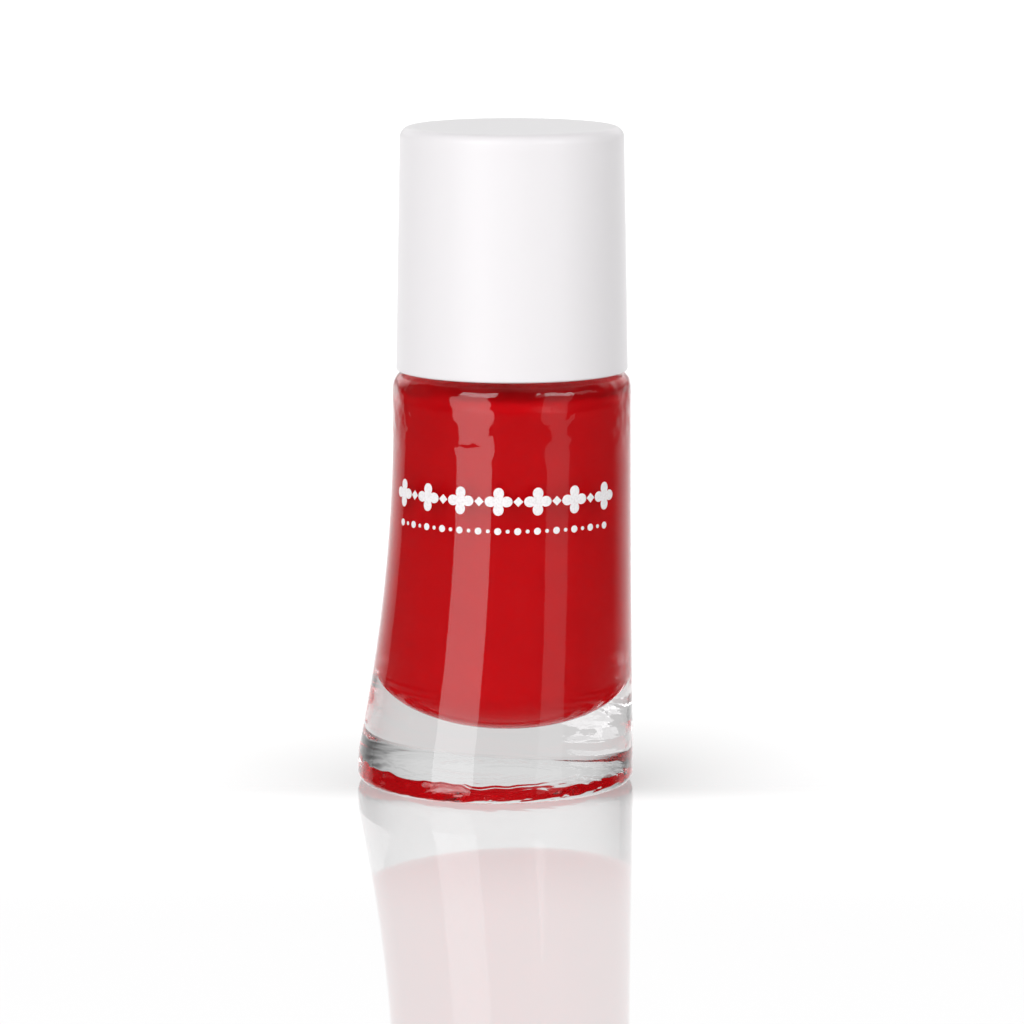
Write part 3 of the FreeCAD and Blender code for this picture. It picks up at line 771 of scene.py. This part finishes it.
def bristle_finish():
    """Filaments soaked in lacquer, with darker nylon where they leave the stem."""
    finish = new_finish("soaked_bristles")
    place = finish.place()
    height = finish.split(place)[2]
    patch = finish.noise(place, 1800.0, 2.0)
    bare = (height + 1.5 * MM * (patch - 0.5)).step(stem_low.z - 0.6 * MM, stem_low.z + 0.4 * MM)
    colour = finish.blend(bare, (0.52, 0.006, 0.008, 1), (0.07, 0.03, 0.03, 1))
    finish.output(gloss(finish, Base_Color=colour, Roughness=0.12 + 0.2 * bare))
    return finish.owner


def metal_finish(name, colour, shade, rough):
    """Drawn metal with fine marks along one way."""
    finish = new_finish(name)
    place = finish.place()
    marks = finish.noise(finish.stretched(place, (1.0, 0.15, 1.0)), 9000.0, 2.0)
    tint = finish.blend(marks, colour, shade)
    normal = finish.bump(marks, 0.002 * MM, 0.6)
    finish.output(gloss(finish, Base_Color=tint, Metallic=1.0, Roughness=rough + 0.1 * marks, Normal=normal))
    return finish.owner


def seal_finish():
    """Closed-cell foam of the washer: small round pores."""
    finish = new_finish("washer_foam")
    place = finish.place()
    cells = finish.cells(place, 5000.0)
    tint = finish.blend(cells, (0.72, 0.72, 0.70, 1), (0.86, 0.86, 0.84, 1))
    normal = finish.bump(cells, 0.03 * MM)
    finish.output(gloss(finish, Base_Color=tint, Roughness=0.75, Normal=normal))
    return finish.owner


def dress(target, material):
    """Gives an object one material in place of any it had."""
    target.data.materials.clear()
    target.data.materials.append(material)


# ---------------------------------------------------------------- set, light and camera
FLOOR_HALF = 4.0
FLOOR_WHITE = 0.70
FLOOR_WHITE_BEHIND = 0.55
FLOOR_WHITE_FAR = 0.25
FLOOR_WHITE_THROUGH_GLASS = 0.72
FLOOR_MIRROR = 0.19
FLOOR_MIRROR_NEAR = 0.26
FLOOR_LIGHT_KEPT_BACK = 0.30
# Painted shadow on the board round the foot: its depth, the extra depth on the right, and its fade length in
# metres.
CONTACT_SHADE = 0.22
CONTACT_SHADE_RIGHT = 0.10
CONTACT_REACH = 0.016


def floor_finish():
    """Pale polished board: an even white that is brightest away from the object, and a mirror that fades.

    A painted shadow c * exp(-d / reach), of the distance d from the foot, darkens it beside and behind the
    foot."""
    finish = new_finish("pale_board")
    x, ahead, _ = finish.split(finish.place())
    from_foot = ((x * x + ahead * ahead) ** 0.5 - FOOT_RADIUS).math("MAXIMUM", 0)
    # Painted shadow: the board darkened near the foot, deeper on the right, fading with distance and absent
    # in front of the foot.
    painted_shadow = CONTACT_SHADE + CONTACT_SHADE_RIGHT * x.step(-0.015, 0.015)
    painted_shadow = painted_shadow * (from_foot / -CONTACT_REACH).math("EXPONENT") * ahead.step(-0.016, -0.004)
    white = FLOOR_WHITE + FLOOR_WHITE_BEHIND * ahead.step(0.06, 0.30) + FLOOR_WHITE_FAR * ahead.step(0.3, 0.8)
    glow = finish.emission((1, 1, 1, 1), white)
    base = finish.node("ShaderNodeAddShader", None, [finish.diffuse(0.25), glow])
    mirror = finish.node("ShaderNodeBsdfGlossy", None, {"Color": (1, 1, 1, 1), "Roughness": 0.02})
    fade = FLOOR_MIRROR + FLOOR_MIRROR_NEAR * (1 - (ahead * -1).step(-0.01, 0.07))
    board = finish.mixed(fade, base, mirror)
    through = finish.ray("Is Transmission Ray")
    below = finish.emission((1, 0.985, 0.985, 1), FLOOR_WHITE_THROUGH_GLASS)
    board = finish.mixed(through, board, below)
    darker = FLOOR_LIGHT_KEPT_BACK * finish.ray("Is Diffuse Ray") + painted_shadow * (1 - through)
    finish.output(finish.mixed(darker, board, finish.diffuse(0.0)))
    return finish.owner


def make_floor():
    """Square board under the object, seen directly and through the glass, but not mirrored in it."""
    corners = np.array([[-1, -1], [1, -1], [1, 1], [-1, 1]]) * FLOOR_HALF
    points = np.concatenate([corners, np.zeros((4, 1))], 1)
    floor = add_piece("floor_board", points, [np.array([[0, 1, 2, 3]])])
    dress(floor, floor_finish())
    floor.visible_glossy = False
    floor.visible_shadow = False


CAMERA_LENS = 197.5
CAMERA_BACK = 0.5696
CAMERA_HEIGHT = 0.11358
CAMERA_DOWN = 8.56
PANEL_COLOUR = (1.0, 0.985, 1.0)
BACK_EDGE = -math.cos(math.radians(112))
BACK_FULL = -math.cos(math.radians(172))
TABLE_WHITE = 1.1
HAZE_WHITE = 0.65
WALL_WHITE = 1.35
CEILING_WHITE = 0.20
CEILING_RIGHT = 0.14
ROOM_DIM = 0.03
THROUGH_GLASS = 0.52
LEFT_END = (0.575, 0.60)
HAZE_LEVEL = (-0.05, 0.03)
WALL_FOOT = (0.10, 0.16)
WALL_TOP = (0.35, 0.7)
CEILING_LEVEL = (0.7, 0.9)


def make_world():
    """White table and wall behind the object, a dim room in front of it, and a soft ceiling."""
    world = bpy.data.worlds.new("studio")
    bpy.context.scene.world = world
    finish = Finish(world)
    way = finish.node("ShaderNodeTexCoord", out="Generated")
    x, y, z = finish.split(way)
    flat = (x * x + y * y) ** 0.5
    behind = (y / flat).step(BACK_EDGE, BACK_FULL)
    left_end = 1 - (1 - (y / flat).step(*LEFT_END)) * (x * -1).step(-0.01, 0.01)
    behind = behind * left_end
    above = z.step(*CEILING_LEVEL)
    haze = z.step(*HAZE_LEVEL)
    wall = z.step(*WALL_FOOT) * (1 - z.step(*WALL_TOP))
    through = finish.ray("Is Transmission Ray")
    wall_white = WALL_WHITE * (1 - through * (1 - THROUGH_GLASS))
    back = TABLE_WHITE * (1 - haze) + HAZE_WHITE * haze
    back = back * (1 - wall) + wall_white * wall
    ceiling = CEILING_WHITE + CEILING_RIGHT * x.step(-0.3, 0.5)
    strength = ROOM_DIM + back * behind * (1 - above) + ceiling * above
    seen = finish.ray("Is Camera Ray")
    strength = strength * (1 - seen) + 1.0 * seen
    finish.output(finish.node("ShaderNodeBackground", None, {"Color": (1, 1, 1, 1), "Strength": strength}))


def make_panel(name, bearing, half_width, distance, low, high, radiance, mirrored):
    """Upright soft panel between two elevations, its middle at a bearing from the front, to the right.

    Angles are in degrees; a panel that is not mirrored only lights, and shows in no glass."""
    bottom = distance * math.tan(math.radians(low))
    top = distance * math.tan(math.radians(high))
    light = bpy.data.lights.new(name, "AREA")
    light.shape = "RECTANGLE"
    light.size = 2 * distance * math.tan(math.radians(half_width))
    light.size_y = top - bottom
    light.color = PANEL_COLOUR
    light.energy = radiance * 4 * light.size * light.size_y
    panel = bpy.data.objects.new(name, light)
    bpy.context.scene.collection.objects.link(panel)
    turn = math.radians(bearing)
    panel.location = (NECK_X + distance * math.sin(turn), -distance * math.cos(turn), (top + bottom) / 2)
    panel.rotation_euler = (math.radians(90), 0, turn)
    panel.visible_camera = False
    panel.visible_glossy = mirrored
    panel.visible_transmission = mirrored


def make_camera():
    """Long lens level with the cap, looking slightly down at the front."""
    camera = bpy.data.cameras.new("studio_camera")
    camera.lens = CAMERA_LENS
    camera.sensor_width = 36.0
    camera.clip_start = 0.05
    viewer = bpy.data.objects.new("studio_camera", camera)
    bpy.context.scene.collection.objects.link(viewer)
    viewer.location = (NECK_X, -CAMERA_BACK, CAMERA_HEIGHT)
    viewer.rotation_euler = (math.radians(90 - CAMERA_DOWN), 0, 0)
    bpy.context.scene.camera = viewer


# ---------------------------------------------------------------- putting it together
glass = make_glass()
fill = make_lacquer()
shell = make_cap_shell()
ribs = make_cap_ribs()
tuft = make_bristles()
ornament = make_print()

white_plastic = cap_finish()
dress(glass, glass_finish())
dress(fill, lacquer_finish())
dress(shell, white_plastic)
dress(ribs, white_plastic)
dress(tuft, bristle_finish())
dress(ornament, ink_finish())
dress(nodes["inner_cap"], satin_finish("natural_liner", (0.80, 0.80, 0.78, 1), (0.88, 0.88, 0.86, 1), 0.38))
dress(nodes["brush_stem"], stem_finish())
dress(nodes["sealing_washer"], seal_finish())
dress(nodes["brush_staple"], metal_finish("staple_brass", (0.74, 0.55, 0.26, 1), (0.66, 0.48, 0.22, 1), 0.25))
steel = metal_finish("polished_steel", (0.62, 0.62, 0.63, 1), (0.55, 0.55, 0.56, 1), 0.12)
for name in ("mixing_ball_front", "mixing_ball_back"):
    dress(nodes[name], steel)

make_floor()
make_world()
# name, bearing, half width, distance, lowest and highest elevation, radiance, seen in reflections
PANELS = [
    ("left_strip_foot", -36.5, 17.5, 1.2, -18, 20, 1.75, True),
    ("left_strip", -36.0, 19.0, 1.2, 20, 46, 3.95, True),
    ("left_fill", -76.0, 50.0, 1.3, 2, 28, 0.84, False),
    ("right_panel_foot", 45.0, 11.0, 1.2, -18, 20, 0.45, True),
    ("right_panel", 47.0, 14.0, 1.2, 20, 46, 3.2, True),
    ("right_glow", 58.0, 34.0, 1.25, 22, 40, 0.6, True),
    ("right_fill", 82.0, 50.0, 1.3, 2, 28, 0.86, False),
]
for panel in PANELS:
    make_panel(*panel)
make_camera()

scene = bpy.context.scene
scene.view_settings.view_transform = "Standard"
scene.cycles.max_bounces = 24
scene.cycles.transmission_bounces = 20
scene.cycles.glossy_bounces = 12
